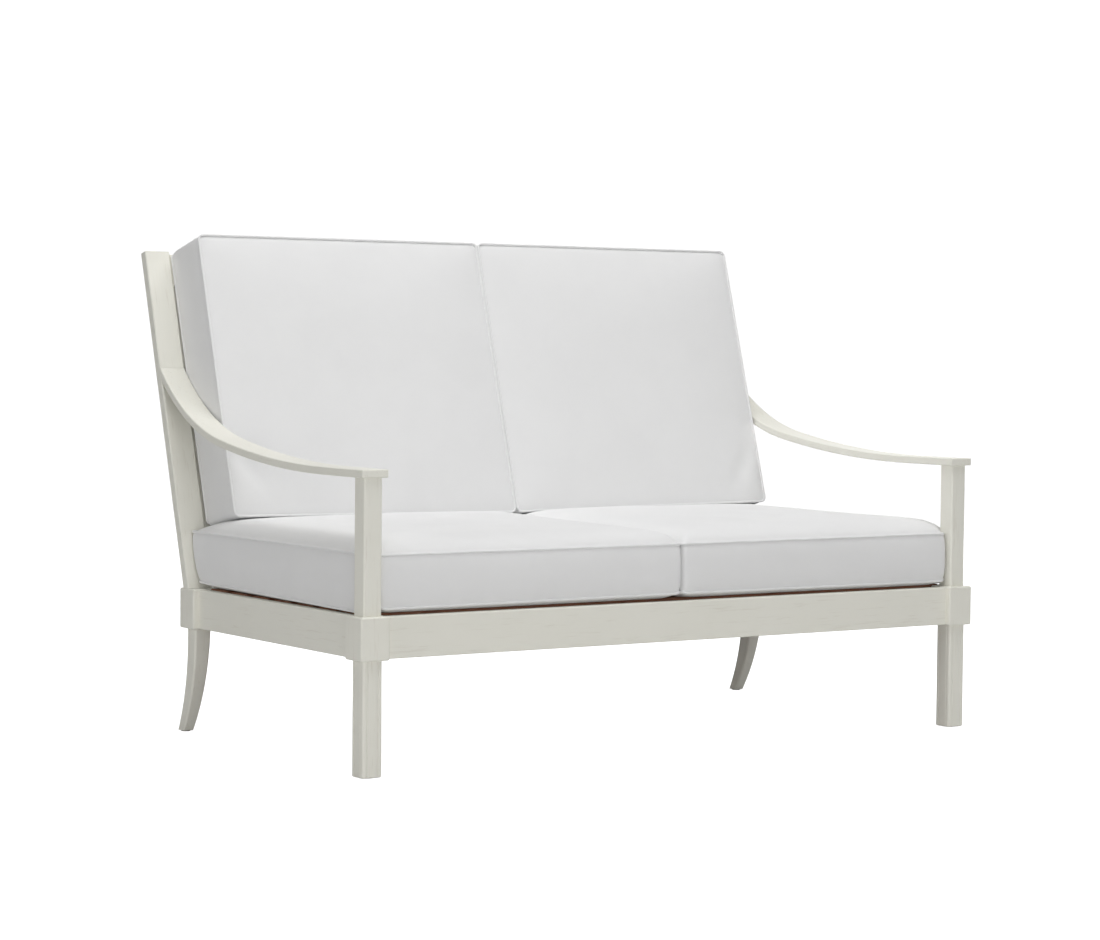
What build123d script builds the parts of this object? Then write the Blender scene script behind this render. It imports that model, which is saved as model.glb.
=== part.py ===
"""Painted wooden patio loveseat with four loose box cushions.

+X is to the right of someone who faces the seat, +Y runs to the back and +Z is up. The origin
lies on the floor under the middle of the whole piece. Lengths are in millimetres, angles in
degrees. "left" is the -X side, as the seat is seen from the front.
"""

import os
from math import cos, radians, sin, sqrt, tan

from build123d import *

os.makedirs("parts", exist_ok=True)

# Plan of the frame, from corner centre to corner centre
post_spacing_x = 1418
post_spacing_y = 675

# Corner blocks, the thick collars that legs, posts, stiles and rails all meet in
block_side = 61
block_height = 81
block_bottom = 217
block_edge = 2.5

# Front posts and front legs
post_side = 38
post_edge = 3
leg_width = 41.5
leg_corner = 5
bead_width = 9.5
bead_quirk = 1.4
leg_foot_edge = 1.5

# Saber legs at the back: square at the top, swept back and tapered to the floor
saber_top = 36.2
saber_foot = 24.8
saber_sweep = 59.5
saber_forward = 3.5
saber_edge = 3

# Foot glides
glide_height = 2
glide_diameter = 19

# Rails of the seat
rail_thick = 24
rail_height = 78
rail_recess = 12.5
rail_edge = 1.5

# Arms: a level run over the post, a long shallow rise and a tight swoop into the stile
arm_width = 55.5
arm_thick = 15.2
arm_top = 567
arm_overhang = 7
arm_edge = 1.6
arm_rise_radius = 2405
arm_rise_angle = 10.2
arm_swoop_radius = 490
arm_meet_angle = 45.2
arm_past_angle = 10

# Leaning back
lean = 16.5
stile_thick = 22.3
stile_length = 714.6
stile_forward = 1.7
stile_edge = 2
back_rail_thick = 20
top_rail_height = 70
top_rail_drop = 6
low_rail_height = 58
low_rail_rise = 34
back_slats = 12
back_slat_width = 62
back_slat_thick = 10
back_slat_set = 3
back_slat_edge = 2

# Seat deck
seat_slats = 7
slat_width = 66
slat_thick = 15
slat_edge = 2
deck_rise = 2.5
deck_margin = 5.5
cleat_width = 22
cleat_height = 30
cleat_notch = 8
cleat_tongue = 5.5
cleat_tongue_height = 10
stretcher_width = 24
stretcher_height = 60
stretcher_notch = 5

# Joinery
rail_tenon_length = 28
rail_tenon_thick = 10
rail_shoulder = 18
stub_tenon = 10
stub_shoulder = 6
post_tenon = 20
stile_tenon_width = 30
stile_tenon_thick = 12
mortise_wall = 3.5
back_tenon_length = 22
back_shoulder = 12
tongue_width = 34
tongue_thick = 8
tongue_depth = 10
arm_tenon_width = 28
arm_tenon_height = 12
arm_tenon_length = 13
arm_mortise_share = 0.6
joint_gap = 0.2
end_gap = 0.5

# Seat cushions: the welts run round at the foot and at the top of the border
seat_side_out = 4
seat_front_out = 5
seat_foot = 4
seat_border = 111
seat_bulge = 9
seat_crown = 31
seat_fall = 80
seat_rear_fall = 110
seat_corner = 16
notch_corner = 11
notch_inner_corner = 3
notch_gap = 1.5

# Back cushions: wide at the stiles and drawn in at the front, all one thickness
back_side_gap = 0.5
back_front_in = 7.5
back_cushion_rise = 117.5
back_cushion_drop = 3.6
back_thick = 121
back_foot = 4
back_bulge = 3
back_crown = 14
back_fall = 110
back_corner = 15

# Both kinds: how high each ring of the crown stands and how far in it lies
crown_rise_shares = (0.45, 0.84, 1)
crown_fall_shares = (0.15, 0.46, 1)
tuck_in = 4
cushion_seam = 0.6
cover_thick = 2
soft_gap = 0.3

# One overrun for every cut that has to pass right through
overrun = 20

# Places worked out from the sizes above
lean_sin = sin(radians(lean))
lean_cos = cos(radians(lean))
block_top = block_bottom + block_height
side_x = post_spacing_x / 2
stile_foot_depth = stile_thick / lean_cos
back_reach = post_spacing_y - stile_forward + stile_length * lean_sin + stile_thick * lean_cos
front_y = (block_side / 2 - back_reach) / 2
rear_y = front_y + post_spacing_y
rail_bottom = block_bottom + (block_height - rail_height) / 2
rail_top = rail_bottom + rail_height
rail_face = block_side / 2 - rail_recess
rail_tenon_height = rail_height - 2 * rail_shoulder
post_tenon_depth = (block_height - rail_tenon_height) / 2 - mortise_wall
arm_under = arm_top - arm_thick
stile_width = arm_width
deck_top = rail_top + deck_rise
deck_under = deck_top - slat_thick
side_rail_inner = side_x + rail_face - rail_thick
front_rail_inner = front_y - rail_face + rail_thick
rear_rail_inner = rear_y + rail_face - rail_thick
stile_outer = side_x + arm_width / 2
stile_inner = stile_outer - stile_width
stile_foot_y = rear_y - stile_forward
back_cushion_height = stile_length - back_cushion_rise - back_cushion_drop

# The leaning plane of the stiles' front faces: x along X, y up the slope, z out to the front
back_plane = Plane(
    origin=(0, stile_foot_y, block_top),
    x_dir=(1, 0, 0),
    z_dir=(0, -lean_cos, lean_sin),
)


def finish(piece, label):
    """Name a finished piece and write it to its own file."""
    piece.label = label
    export_step(piece, f"parts/{label}.step")


def both_sides(piece, name):
    """Write a piece of the left side and its mirror image on the right."""
    finish(piece, name.format("left"))
    finish(mirror(piece, about=Plane.YZ), name.format("right"))


# Corner blocks
def corner_block(centre_y, inward, upright_y, upright_width, upright_depth):
    """Left-hand block with mortises for two rails, the leg below and the upright above."""
    with BuildPart() as block:
        with BuildSketch(Plane.XY.offset(block_bottom)):
            with Locations((-side_x, centre_y)):
                Rectangle(block_side, block_side)
        extrude(amount=block_height)
        chamfer(block.edges(), length=block_edge)
        # The front or rear rail comes in along X, the side rail along Y
        rail_line = rail_face - rail_thick / 2
        with BuildSketch(Plane.YZ.offset(-side_x + block_side / 2)):
            with Locations((centre_y - inward * rail_line, block_bottom + block_height / 2)):
                Rectangle(rail_tenon_thick + 2 * joint_gap, rail_tenon_height + 2 * joint_gap)
        extrude(amount=-rail_tenon_length - end_gap, mode=Mode.SUBTRACT)
        with BuildSketch(Plane.XZ.offset(-centre_y - inward * block_side / 2)):
            with Locations((-side_x - rail_line, block_bottom + block_height / 2)):
                Rectangle(rail_tenon_thick + 2 * joint_gap, rail_tenon_height + 2 * joint_gap)
        extrude(amount=inward * (rail_tenon_length + end_gap), mode=Mode.SUBTRACT)
        # Upright above
        with BuildSketch(Plane.XY.offset(block_top)):
            with Locations((-side_x, upright_y)):
                Rectangle(upright_width + 2 * joint_gap, upright_depth + 2 * joint_gap)
        extrude(amount=-post_tenon_depth - end_gap, mode=Mode.SUBTRACT)
        # Leg below
        with BuildSketch(Plane.XY.offset(block_bottom)):
            with Locations((-side_x, centre_y)):
                Rectangle(post_tenon + 2 * joint_gap, post_tenon + 2 * joint_gap)
        extrude(amount=post_tenon_depth + end_gap, mode=Mode.SUBTRACT)
    return block.part


stile_tenon_y = stile_foot_y + stile_foot_depth / 2
both_sides(corner_block(front_y, 1, front_y, post_tenon, post_tenon), "front_{}_block")
both_sides(
    corner_block(rear_y, -1, stile_tenon_y, stile_tenon_width, stile_tenon_thick),
    "rear_{}_block",
)


# Front posts, from the block up into the arm
with BuildPart() as front_post:
    with BuildSketch(Plane.XY.offset(block_top)):
        with Locations((-side_x, front_y)):
            Rectangle(post_side, post_side)
    extrude(amount=arm_under - block_top)
    chamfer(front_post.edges().filter_by(Axis.Z), length=post_edge)
    with BuildSketch(Plane.XY.offset(block_top - post_tenon_depth)):
        with Locations((-side_x, front_y)):
            Rectangle(post_tenon, post_tenon)
    extrude(amount=arm_under - block_top + post_tenon_depth + arm_thick * arm_mortise_share)
both_sides(front_post.part, "front_{}_post")


# Front legs: a bead runs down each corner, set off by a quirk on both faces
with BuildPart() as front_leg:
    with BuildSketch(Plane.XY.offset(glide_height)):
        with Locations((-side_x, front_y)):
            RectangleRounded(leg_width, leg_width, leg_corner)
    extrude(amount=block_bottom - glide_height)
    chamfer(front_leg.faces().sort_by(Axis.Z)[0].edges(), length=leg_foot_edge)
    quirk_x = leg_width / 2 - bead_width
    with BuildSketch(Plane.XY.offset(glide_height)):
        with Locations((-side_x, front_y)):
            with PolarLocations(leg_width / 2, 4):
                with Locations((0, quirk_x), (0, -quirk_x)):
                    RegularPolygon(bead_quirk, 4)
    extrude(amount=block_bottom - glide_height, mode=Mode.SUBTRACT)
    with BuildSketch(Plane.XY.offset(block_bottom)):
        with Locations((-side_x, front_y)):
            Rectangle(post_tenon, post_tenon)
    extrude(amount=post_tenon_depth)
both_sides(front_leg.part, "front_{}_leg")


# Saber legs: the side profile crossed with the tapered front profile
def saber_radius(sweep):
    """Radius of the arc that leaves the block upright and has swept this far at the floor."""
    return (block_bottom**2 + sweep**2) / (2 * sweep)


def saber_offset(sweep, height):
    """How far such an arc has swept at a height above the floor."""
    radius = saber_radius(sweep)
    return radius - sqrt(radius**2 - (block_bottom - height) ** 2)


saber_y = rear_y + saber_forward
saber_taper = (saber_top - saber_foot) / 2
front_sweep = saber_sweep + saber_taper
rear_sweep = saber_sweep - saber_taper
with BuildPart() as saber_leg:
    with BuildSketch(Plane.YZ.offset(-side_x - saber_top / 2)):
        with BuildLine():
            half = saber_top / 2
            mid = block_bottom / 2
            front_foot = saber_y - half + saber_offset(front_sweep, glide_height)
            rear_foot = saber_y + half + saber_offset(rear_sweep, glide_height)
            ThreePointArc(
                (saber_y - half, block_bottom),
                (saber_y - half + saber_offset(front_sweep, mid), mid),
                (front_foot, glide_height),
            )
            Line((front_foot, glide_height), (rear_foot, glide_height))
            ThreePointArc(
                (rear_foot, glide_height),
                (saber_y + half + saber_offset(rear_sweep, mid), mid),
                (saber_y + half, block_bottom),
            )
            Line((saber_y + half, block_bottom), (saber_y - half, block_bottom))
        make_face()
    extrude(amount=saber_top)
    with BuildSketch(Plane.XZ.offset(-saber_y + saber_top)):
        with BuildLine():
            Polyline(
                (-side_x - saber_top / 2, block_bottom),
                (-side_x + saber_top / 2, block_bottom),
                (-side_x + saber_foot / 2, 0),
                (-side_x - saber_foot / 2, 0),
                close=True,
            )
        make_face()
    extrude(amount=-saber_top * 2 - saber_sweep, mode=Mode.INTERSECT)
    long_edges = saber_leg.edges().filter_by(lambda e: e.length > block_bottom / 2)
    chamfer(long_edges, length=saber_edge)
    with BuildSketch(Plane.XY.offset(block_bottom)):
        with Locations((-side_x, rear_y)):
            Rectangle(post_tenon, post_tenon)
    extrude(amount=post_tenon_depth)
both_sides(saber_leg.part, "rear_{}_leg")


# Foot glides under the legs
saber_foot_y = saber_y + saber_offset(saber_sweep, glide_height)
with BuildPart() as foot_glides:
    with BuildSketch():
        with Locations(*[(x, y) for x in (-side_x, side_x) for y in (front_y, saber_foot_y)]):
            Circle(glide_diameter / 2)
    extrude(amount=glide_height)
finish(foot_glides.part, "foot_glides")


# Front and rear rails, with a mortise for the stretcher in the inner face
cross_length = post_spacing_x - block_side


def cross_rail(centre_y, inward):
    """Long rail between the blocks, its outer face set back from theirs."""
    face_y = centre_y - inward * rail_face
    with BuildPart() as rail:
        with BuildSketch(Plane.XY.offset(rail_bottom)):
            with Locations((0, face_y + inward * rail_thick / 2)):
                Rectangle(cross_length, rail_thick)
        extrude(amount=rail_height)
        chamfer(rail.edges().filter_by(Axis.X), length=rail_edge)
        with BuildSketch(Plane.XY.offset(rail_bottom + rail_shoulder)):
            with Locations((0, face_y + inward * rail_thick / 2)):
                Rectangle(cross_length + 2 * rail_tenon_length, rail_tenon_thick)
        extrude(amount=rail_tenon_height)
        with BuildSketch(Plane.XZ.offset(-face_y - inward * rail_thick)):
            with Locations((0, deck_under - stretcher_height / 2)):
                Rectangle(
                    stretcher_width - 2 * stub_shoulder + 2 * joint_gap,
                    stretcher_height - 2 * stub_shoulder + 2 * joint_gap,
                )
        extrude(amount=inward * (stub_tenon + end_gap), mode=Mode.SUBTRACT)
    return rail.part


finish(cross_rail(front_y, 1), "front_rail")
finish(cross_rail(rear_y, -1), "rear_rail")


# Side rails, grooved along the inner face for the cleats
side_length = post_spacing_y - block_side
mid_y = (front_y + rear_y) / 2
cleat_mid_z = deck_under - cleat_height / 2
with BuildPart() as side_rail:
    with BuildSketch(Plane.XY.offset(rail_bottom)):
        with Locations((-side_rail_inner - rail_thick / 2, mid_y)):
            Rectangle(rail_thick, side_length)
    extrude(amount=rail_height)
    chamfer(side_rail.edges().filter_by(Axis.Y), length=rail_edge)
    with BuildSketch(Plane.XY.offset(rail_bottom + rail_shoulder)):
        with Locations((-side_rail_inner - rail_thick / 2, mid_y)):
            Rectangle(rail_tenon_thick, side_length + 2 * rail_tenon_length)
    extrude(amount=rail_tenon_height)
    with BuildSketch(Plane.YZ.offset(-side_rail_inner)):
        with Locations((mid_y, cleat_mid_z)):
            Rectangle(side_length, cleat_tongue_height + 2 * joint_gap)
    extrude(amount=-cleat_tongue - end_gap, mode=Mode.SUBTRACT)
both_sides(side_rail.part, "{}_rail")


# Seat cleats: a tongue glued into the rail's groove, and a notch for each slat
slat_pitch = (side_length - 2 * deck_margin - slat_width) / (seat_slats - 1)
slat_places = [mid_y + place.position.Y for place in GridLocations(0, slat_pitch, 1, seat_slats)]
cleat_x = side_rail_inner - cleat_width / 2
with BuildPart() as seat_cleat:
    with BuildSketch(Plane.XY.offset(deck_under - cleat_height)):
        with Locations((-cleat_x, mid_y)):
            Rectangle(cleat_width, side_length)
    extrude(amount=cleat_height + cleat_notch)
    with BuildSketch(Plane.YZ.offset(-side_rail_inner)):
        with Locations((mid_y, cleat_mid_z)):
            Rectangle(side_length, cleat_tongue_height)
    extrude(amount=-cleat_tongue)
    with BuildSketch(Plane.XY.offset(deck_under)):
        with Locations(*[(-cleat_x, y) for y in slat_places]):
            Rectangle(cleat_width, slat_width + 2 * joint_gap)
    extrude(amount=cleat_notch, mode=Mode.SUBTRACT)
both_sides(seat_cleat.part, "{}_cleat")


# Stretcher under the middle of the seat slats
stretcher_length = rear_rail_inner - front_rail_inner
with BuildPart() as stretcher:
    with BuildSketch(Plane.XY.offset(deck_under - stretcher_height)):
        with Locations((0, mid_y)):
            Rectangle(stretcher_width, stretcher_length)
    extrude(amount=stretcher_height + stretcher_notch)
    with BuildSketch(Plane.XY.offset(deck_under - stretcher_height + stub_shoulder)):
        with Locations((0, mid_y)):
            Rectangle(stretcher_width - 2 * stub_shoulder, stretcher_length + 2 * stub_tenon)
    extrude(amount=stretcher_height - 2 * stub_shoulder)
    with BuildSketch(Plane.XY.offset(deck_under)):
        with Locations(*[(0, y) for y in slat_places]):
            Rectangle(stretcher_width, slat_width + 2 * joint_gap)
    extrude(amount=stretcher_notch, mode=Mode.SUBTRACT)
finish(stretcher.part, "seat_stretcher")


# Seat slats, let in between the side rails
def seat_slat(y):
    """One slat of the seat."""
    with BuildPart() as slat:
        with BuildSketch(Plane.XY.offset(deck_under)):
            with Locations((0, y)):
                Rectangle(2 * (side_rail_inner - end_gap), slat_width)
        extrude(amount=slat_thick)
        chamfer(slat.edges().filter_by(Axis.X).group_by(Axis.Z)[-1], length=slat_edge)
    return slat.part


for number, place in enumerate(slat_places, 1):
    finish(seat_slat(place), f"seat_slat_{number}")


# Arms, swept up into the leaning stiles
arm_front = front_y - post_side / 2 - arm_overhang
rise_reach = arm_rise_radius * sin(radians(arm_rise_angle))
rise_height = arm_rise_radius * (1 - cos(radians(arm_rise_angle)))
swoop_reach = arm_swoop_radius * (sin(radians(arm_meet_angle)) - sin(radians(arm_rise_angle)))
swoop_height = arm_swoop_radius * (cos(radians(arm_rise_angle)) - cos(radians(arm_meet_angle)))
arm_meet_z = arm_top + rise_height + swoop_height
arm_meet_y = stile_foot_y + (arm_meet_z - block_top) * tan(radians(lean))
arm_run_end = arm_meet_y - rise_reach - swoop_reach
swoop_angle = arm_meet_angle + arm_past_angle - arm_rise_angle
with BuildPart() as arm:
    with BuildSketch(Plane.YZ.offset(-stile_outer)):
        with BuildLine():
            run = Line((arm_front, arm_top), (arm_run_end, arm_top))
            rise = JernArc(run @ 1, run % 1, arm_rise_radius, arm_rise_angle)
            JernArc(rise @ 1, rise % 1, arm_swoop_radius, swoop_angle)
            offset(amount=arm_thick, side=Side.RIGHT)
        make_face()
    extrude(amount=arm_width)
    run_past = arm.faces().sort_by(Axis.Y)[-1]
    chamfer(arm.edges() - run_past.edges(), length=arm_edge)
    split(bisect_by=back_plane, keep=Keep.TOP)
    stile_seat = arm.faces().sort_by(Axis.Y)[-1]
    arm_tenon_y = back_plane.to_local_coords(stile_seat.center()).Y
    with BuildSketch(back_plane):
        with Locations((-side_x, arm_tenon_y)):
            Rectangle(arm_tenon_width, arm_tenon_height)
    extrude(amount=-arm_tenon_length)
    with BuildSketch(Plane.XY.offset(arm_under)):
        with Locations((-side_x, front_y)):
            Rectangle(post_tenon + 2 * joint_gap, post_tenon + 2 * joint_gap)
    extrude(amount=arm_thick * arm_mortise_share + end_gap, mode=Mode.SUBTRACT)
both_sides(arm.part, "{}_arm")


# Stiles of the back
slope = Axis((0, 0, 0), back_plane.y_dir)
top_rail_low = stile_length - top_rail_drop - top_rail_height
low_rail_top = low_rail_rise + low_rail_height
back_tenon_front = (back_rail_thick - rail_tenon_thick) / 2
with BuildPart() as stile:
    with BuildSketch(back_plane):
        with Locations((-side_x, (stile_length - overrun) / 2)):
            Rectangle(stile_width, stile_length + overrun)
    extrude(amount=-stile_thick)
    chamfer(stile.edges().filter_by(slope), length=stile_edge)
    split(bisect_by=Plane.XY.offset(block_top), keep=Keep.TOP)
    with BuildSketch(Plane.XY.offset(block_top)):
        with Locations((-side_x, stile_tenon_y)):
            Rectangle(stile_tenon_width, stile_tenon_thick)
    extrude(amount=-post_tenon_depth)
    with BuildSketch(back_plane):
        with Locations((-side_x, arm_tenon_y)):
            Rectangle(arm_tenon_width + 2 * joint_gap, arm_tenon_height + 2 * joint_gap)
    extrude(amount=-arm_tenon_length - end_gap, mode=Mode.SUBTRACT)
    with BuildSketch(back_plane.offset(joint_gap - back_tenon_front)):
        for low, height in ((low_rail_rise, low_rail_height), (top_rail_low, top_rail_height)):
            with Locations((-stile_inner, low + height / 2)):
                Rectangle(
                    2 * (back_tenon_length + end_gap),
                    height - 2 * back_shoulder + 2 * joint_gap,
                )
    extrude(amount=-rail_tenon_thick - 2 * joint_gap, mode=Mode.SUBTRACT)
both_sides(stile.part, "{}_stile")


# Back rails and slats, the end slats right beside the stiles
back_slat_pitch = (2 * (stile_inner - end_gap) - back_slat_width) / (back_slats - 1)
tongue_front = back_slat_set + (back_slat_thick - tongue_thick) / 2


def back_rail(low, height, slot_edge, slot_side):
    """Rail between the stiles, slotted along one edge for the tongues of the slats."""
    with BuildPart() as rail:
        with BuildSketch(back_plane):
            with Locations((0, low + height / 2)):
                Rectangle(2 * stile_inner, height)
        extrude(amount=-back_rail_thick)
        chamfer(rail.edges().filter_by(Axis.X), length=rail_edge)
        with BuildSketch(back_plane.offset(-back_tenon_front)):
            with Locations((0, low + height / 2)):
                Rectangle(2 * (stile_inner + back_tenon_length), height - 2 * back_shoulder)
        extrude(amount=-rail_tenon_thick)
        with BuildSketch(back_plane.offset(joint_gap - tongue_front)):
            with Locations((0, slot_edge + slot_side * (tongue_depth + end_gap) / 2)):
                with GridLocations(back_slat_pitch, 0, back_slats, 1):
                    Rectangle(tongue_width + 2 * joint_gap, tongue_depth + end_gap)
        extrude(amount=-tongue_thick - 2 * joint_gap, mode=Mode.SUBTRACT)
    return rail.part


def back_slat(x):
    """One slat of the back, with a tongue at each end."""
    middle = (x, (low_rail_top + top_rail_low) / 2)
    span = top_rail_low - low_rail_top
    with BuildPart() as slat:
        with BuildSketch(back_plane.offset(-back_slat_set)):
            with Locations(middle):
                Rectangle(back_slat_width, span)
        extrude(amount=-back_slat_thick)
        chamfer(slat.edges().filter_by(slope), length=back_slat_edge)
        with BuildSketch(back_plane.offset(-tongue_front)):
            with Locations(middle):
                Rectangle(tongue_width, span + 2 * tongue_depth)
        extrude(amount=-tongue_thick)
    return slat.part


finish(back_rail(top_rail_low, top_rail_height, top_rail_low, 1), "back_top_rail")
finish(back_rail(low_rail_rise, low_rail_height, low_rail_top, -1), "back_low_rail")
for number, place in enumerate(GridLocations(back_slat_pitch, 0, back_slats, 1), 1):
    finish(back_slat(place.position.X), f"back_slat_{number}")


# Cushions
def soft_face(plane, corners, radii):
    """Face with rounded corners, the corners given in order round it."""
    with BuildSketch(plane) as outline:
        with BuildLine():
            Polyline(corners, close=True)
        make_face()
        for corner, radius in zip(corners, radii):
            fillet(outline.vertices().sort_by_distance(corner)[0], radius=radius)
    return outline.sketch


def seat_ring(height, side_out, rear_in, inset):
    """Outline of the left seat cushion at one height, cut round the post."""
    falls = max(-side_out, 0)
    lean_y = stile_foot_y + (height - block_top) * tan(radians(lean))
    rear = lean_y - (soft_gap + inset) / lean_cos - rear_in
    inner = -(cushion_seam / 2 + inset) - falls
    notch_in = notch_gap + inset + falls
    notch_x = -side_x + post_side / 2 + notch_in
    notch_y = front_y + post_side / 2 + notch_in
    outer = -side_x - seat_side_out + inset - side_out
    front = front_y - seat_front_out + inset - side_out
    return soft_face(
        Plane.XY.offset(height),
        [(notch_x, front), (inner, front), (inner, rear), (outer, rear), (outer, notch_y), (notch_x, notch_y)],
        (notch_corner, seat_corner, seat_corner, seat_corner, notch_corner, notch_inner_corner),
    )


def seat_pillow(inset):
    """Left seat cushion drawn in on every side, for the cover, its hollow and the core."""
    foot = deck_top + soft_gap
    low = foot + seat_foot + inset
    high = foot + seat_border - inset
    rings = [
        seat_ring(foot + inset, -tuck_in, 0, inset),
        seat_ring(low, 0, 0, inset),
        seat_ring((low + high) / 2, seat_bulge, 0, inset),
        seat_ring(high, 0, 0, inset),
    ]
    for rise, fall in zip(crown_rise_shares, crown_fall_shares):
        rings.append(seat_ring(high + rise * seat_crown, -fall * seat_fall, fall * seat_rear_fall, inset))
    back_foot_plane = Plane(
        origin=back_plane.from_local_coords((0, back_cushion_rise - soft_gap - inset, 0)),
        x_dir=(1, 0, 0),
        z_dir=back_plane.y_dir,
    )
    with BuildPart() as pillow:
        loft(sections=rings, ruled=True)
        split(bisect_by=back_foot_plane, keep=Keep.BOTTOM)
    return pillow.part


def back_ring(level, side_in, side_out, inset):
    """Outline of the left back cushion at one distance from the stiles."""
    falls = max(-side_out, 0)
    inner = -(cushion_seam / 2 + inset) - falls
    outer = -stile_inner + back_side_gap + side_in + inset - side_out
    low = back_cushion_rise + inset + falls
    high = back_cushion_rise + back_cushion_height - inset + side_out
    return soft_face(
        back_plane.offset(level),
        [(outer, low), (inner, low), (inner, high), (outer, high)],
        (back_corner, back_corner, back_corner, back_corner),
    )


def back_pillow(inset):
    """Left back cushion drawn in on every side, for the cover, its hollow and the core."""
    low = soft_gap + back_foot + inset
    front = back_thick - inset
    rings = [
        back_ring(soft_gap + inset, 0, -tuck_in, inset),
        back_ring(low, 0, 0, inset),
        back_ring((low + front) / 2, back_front_in / 2, back_bulge, inset),
        back_ring(front, back_front_in, 0, inset),
    ]
    for rise, fall in zip(crown_rise_shares, crown_fall_shares):
        rings.append(back_ring(front + rise * back_crown, back_front_in, -fall * back_fall, inset))
    with BuildPart() as pillow:
        loft(sections=rings, ruled=True)
    return pillow.part


for pillow_of, name in ((seat_pillow, "seat_{}"), (back_pillow, "back_{}")):
    both_sides(pillow_of(0) - pillow_of(cover_thick), name + "_cover")
    both_sides(pillow_of(cover_thick + soft_gap), name + "_core")
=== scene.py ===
"""Painted wooden patio loveseat with four loose welted cushions, dressed in a plain studio.

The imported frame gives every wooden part; this script adds the stuffed cushions with their
welts, the finishes, the floor, the lights and the camera. Lengths are in metres.
"""

import logging
from dataclasses import dataclass, field
from enum import Enum
from math import atan2, ceil, cos, hypot, pi, radians, sin, tan
from typing import Iterable, Sequence

import bmesh
import bpy
import numpy as np
from mathutils import Matrix, Vector
from mathutils.kdtree import KDTree


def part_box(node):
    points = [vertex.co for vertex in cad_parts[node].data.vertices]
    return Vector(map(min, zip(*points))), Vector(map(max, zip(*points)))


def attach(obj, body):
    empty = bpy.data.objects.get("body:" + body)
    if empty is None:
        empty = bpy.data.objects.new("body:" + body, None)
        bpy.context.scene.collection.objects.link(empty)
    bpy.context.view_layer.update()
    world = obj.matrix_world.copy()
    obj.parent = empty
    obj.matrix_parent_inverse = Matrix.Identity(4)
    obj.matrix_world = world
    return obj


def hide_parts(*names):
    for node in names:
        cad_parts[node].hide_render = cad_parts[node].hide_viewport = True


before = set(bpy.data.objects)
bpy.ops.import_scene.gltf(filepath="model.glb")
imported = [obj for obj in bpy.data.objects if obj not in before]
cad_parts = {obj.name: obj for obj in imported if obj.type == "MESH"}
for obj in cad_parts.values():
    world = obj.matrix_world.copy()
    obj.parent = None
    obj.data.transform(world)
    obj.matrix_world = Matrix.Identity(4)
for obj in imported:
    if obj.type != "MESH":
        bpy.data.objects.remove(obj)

LOG = logging.getLogger("loveseat")
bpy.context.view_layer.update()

Point = tuple[float, float]
Loop = list[Vector]
Triple = tuple[float, float, float]
Colour = Triple

LEAN = radians(16.5)
TINY = 1e-9
# Where the stiles' front faces stand in Y, from the middle of the blocks that they rise from.
STILE_SHIFT = -0.0017
# How far in from its seam each ring of a flat panel and of a crown lies, and the border's runs.
PANEL_INSETS = (0.20, 0.08, 0.02)
CROWN_INSETS = (0.004, 0.009, 0.016, 0.026, 0.040, 0.060, 0.085, 0.115, 0.155, 0.205, 0.260)
BORDER_RUNS = 8
# A back cushion's foot: its thickness, its most sag, how far out the sag ends and how it fades.
BACK_THICK = 0.121
FOOT_SAG, FOOT_SAG_REACH, FOOT_SAG_FADE = 0.0075, 0.68, 1.3


class Side(Enum):
    """The two halves of the loveseat, as someone facing the seat names them."""

    LEFT = "left"
    RIGHT = "right"


class GrainRun(Enum):
    """The way the wood's grain runs in a part."""

    ACROSS = "across"
    DEEP = "deep"
    UPRIGHT = "upright"
    LEANING = "leaning"


# ---- Shared shader node groups ----


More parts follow.
